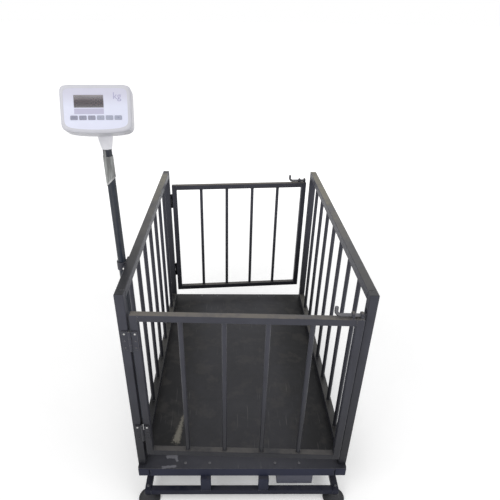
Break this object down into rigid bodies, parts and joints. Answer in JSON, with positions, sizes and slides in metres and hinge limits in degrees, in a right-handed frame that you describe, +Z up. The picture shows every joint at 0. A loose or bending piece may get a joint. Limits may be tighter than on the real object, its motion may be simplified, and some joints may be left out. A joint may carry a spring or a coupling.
{
  "type": "animal weighing scale",
  "caption": "Livestock weighing crate: barred steel cage with hinged end gates and slide bolts, on a load-cell platform with levelling feet, with an indicator on a mast.",
  "frame": {"origin": "middle of the whole object's footprint, on the floor under the foot pads", "axes": "+Z up, +X to the right of someone who faces the front gate, +Y from the front gate to the rear gate"},
  "size_m": [0.9216, 1.3202, 1.5209],
  "materials": {
    "black_paint": "worn satin black paint on welded steel tube",
    "deck_steel": "dark painted plate, scuffed and dusty",
    "zinc_steel": "bright zinc plating",
    "nickel_steel": "nickel plating",
    "foot_rubber": "black moulded rubber",
    "grey_plastic": "light grey moulded plastic",
    "white_plastic": "satin white moulded plastic",
    "dark_window": "smoked clear plastic",
    "key_plastic": "blue-grey keycaps",
    "circuit_board": "green solder mask",
    "battery_case": "black battery case",
    "knob_plastic": "black moulded plastic"
  },
  "bodies": {
    "frame": {"base_side_rail_left": "black_paint", "base_side_rail_right": "black_paint", "base_front_rail": "black_paint", "base_rear_rail": "black_paint", "load_cell_front_left": "nickel_steel", "load_cell_front_right": "nickel_steel", "load_cell_rear_left": "nickel_steel", "load_cell_rear_right": "nickel_steel", "platform_side_rail_left": "black_paint", "platform_side_rail_right": "black_paint", "platform_front_rail": "black_paint", "platform_rear_rail": "black_paint", "platform_cross_beam": "black_paint", "deck_plate": "deck_steel", "junction_box": "grey_plastic", "junction_box_lid": "grey_plastic", "summing_board": "circuit_board", "side_panel_left": "black_paint", "side_panel_right": "black_paint", "front_post_hinge_leaf_upper": "black_paint", "front_hinge_pin_upper": "zinc_steel", "front_post_hinge_leaf_lower": "black_paint", "front_hinge_pin_lower": "zinc_steel", "rear_post_hinge_leaf_upper": "black_paint", "rear_hinge_pin_upper": "zinc_steel", "rear_post_hinge_leaf_lower": "black_paint", "rear_hinge_pin_lower": "zinc_steel", "mast": "black_paint", "mast_clamp_upper": "black_paint", "mast_clamp_lower": "black_paint"},
    "foot_front_left": {"foot_pad_front_left": "foot_rubber", "foot_stud_front_left": "zinc_steel"},
    "foot_front_right": {"foot_pad_front_right": "foot_rubber", "foot_stud_front_right": "zinc_steel"},
    "foot_rear_left": {"foot_pad_rear_left": "foot_rubber", "foot_stud_rear_left": "zinc_steel"},
    "foot_rear_right": {"foot_pad_rear_right": "foot_rubber", "foot_stud_rear_right": "zinc_steel"},
    "front_gate": {"front_gate": "black_paint", "front_gate_hinge_leaf_upper": "black_paint", "front_gate_hinge_leaf_lower": "black_paint"},
    "front_gate_bolt": {"front_gate_bolt": "black_paint"},
    "rear_gate": {"rear_gate": "black_paint", "rear_gate_hinge_leaf_upper": "black_paint", "rear_gate_hinge_leaf_lower": "black_paint"},
    "rear_gate_bolt": {"rear_gate_bolt": "black_paint"},
    "indicator_bracket": {"indicator_bracket": "white_plastic"},
    "tilt_knob": {"tilt_knob": "knob_plastic"},
    "indicator": {"indicator_front_shell": "white_plastic", "indicator_rear_shell": "white_plastic", "display_window": "dark_window", "display_module": "circuit_board", "main_board": "circuit_board", "battery": "battery_case"},
    "key_1": {"key_1": "key_plastic"},
    "key_2": {"key_2": "key_plastic"},
    "key_3": {"key_3": "key_plastic"},
    "key_4": {"key_4": "key_plastic"},
    "key_5": {"key_5": "key_plastic"},
    "key_6": {"key_6": "key_plastic"}
  },
  "joints": [
    {"name": "foot_front_left_adjust", "type": "slide", "parent": "frame", "child": "foot_front_left", "axis": [0, 0, -1], "range_m": [-0.004, 0.01]},
    {"name": "foot_front_right_adjust", "type": "slide", "parent": "frame", "child": "foot_front_right", "axis": [0, 0, -1], "range_m": [-0.004, 0.01]},
    {"name": "foot_rear_left_adjust", "type": "slide", "parent": "frame", "child": "foot_rear_left", "axis": [0, 0, -1], "range_m": [-0.004, 0.01]},
    {"name": "foot_rear_right_adjust", "type": "slide", "parent": "frame", "child": "foot_rear_right", "axis": [0, 0, -1], "range_m": [-0.004, 0.01]},
    {"name": "front_gate_swing", "type": "hinge", "parent": "frame", "child": "front_gate", "pos_m": [-0.31821, -0.60843, 0.5789], "axis": [0, 0, -1], "range_deg": [-1.8, 173.2]},
    {"name": "front_gate_bolt_slide", "type": "slide", "parent": "front_gate", "child": "front_gate_bolt", "axis": [0.9995, -0.0314, 0], "range_m": [0, 0.03]},
    {"name": "rear_gate_swing", "type": "hinge", "parent": "frame", "child": "rear_gate", "pos_m": [-0.31821, 0.60217, 0.5789], "axis": [0, 0, 1], "range_deg": [-5, 170]},
    {"name": "rear_gate_bolt_slide", "type": "slide", "parent": "rear_gate", "child": "rear_gate_bolt", "axis": [0.9962, 0.0872, 0], "range_m": [0, 0.03]},
    {"name": "indicator_swivel", "type": "hinge", "parent": "frame", "child": "indicator_bracket", "pos_m": [-0.36871, -0.38813, 1.3382], "axis": [0, 0, 1], "range_deg": [-124, 116]},
    {"name": "indicator_tilt", "type": "hinge", "parent": "indicator_bracket", "child": "indicator", "pos_m": [-0.36871, -0.38813, 1.4306], "axis": [-0.9976, -0.0698, 0], "range_deg": [-27, 16]},
    {"name": "tilt_knob_turn", "type": "hinge", "parent": "indicator_bracket", "child": "tilt_knob", "pos_m": [-0.36871, -0.38813, 1.4306], "axis": [-0.9976, -0.0698, 0], "range_deg": [0, 360]},
    {"name": "key_1_press", "type": "slide", "parent": "indicator", "child": "key_1", "axis": [-0.0637, 0.9113, -0.4067], "range_m": [0, 0.0008], "stiffness_N_per_m": 2000},
    {"name": "key_2_press", "type": "slide", "parent": "indicator", "child": "key_2", "axis": [-0.0637, 0.9113, -0.4067], "range_m": [0, 0.0008], "stiffness_N_per_m": 2000},
    {"name": "key_3_press", "type": "slide", "parent": "indicator", "child": "key_3", "axis": [-0.0637, 0.9113, -0.4067], "range_m": [0, 0.0008], "stiffness_N_per_m": 2000},
    {"name": "key_4_press", "type": "slide", "parent": "indicator", "child": "key_4", "axis": [-0.0637, 0.9113, -0.4067], "range_m": [0, 0.0008], "stiffness_N_per_m": 2000},
    {"name": "key_5_press", "type": "slide", "parent": "indicator", "child": "key_5", "axis": [-0.0637, 0.9113, -0.4067], "range_m": [0, 0.0008], "stiffness_N_per_m": 2000},
    {"name": "key_6_press", "type": "slide", "parent": "indicator", "child": "key_6", "axis": [-0.0637, 0.9113, -0.4067], "range_m": [0, 0.0008], "stiffness_N_per_m": 2000}
  ]
}
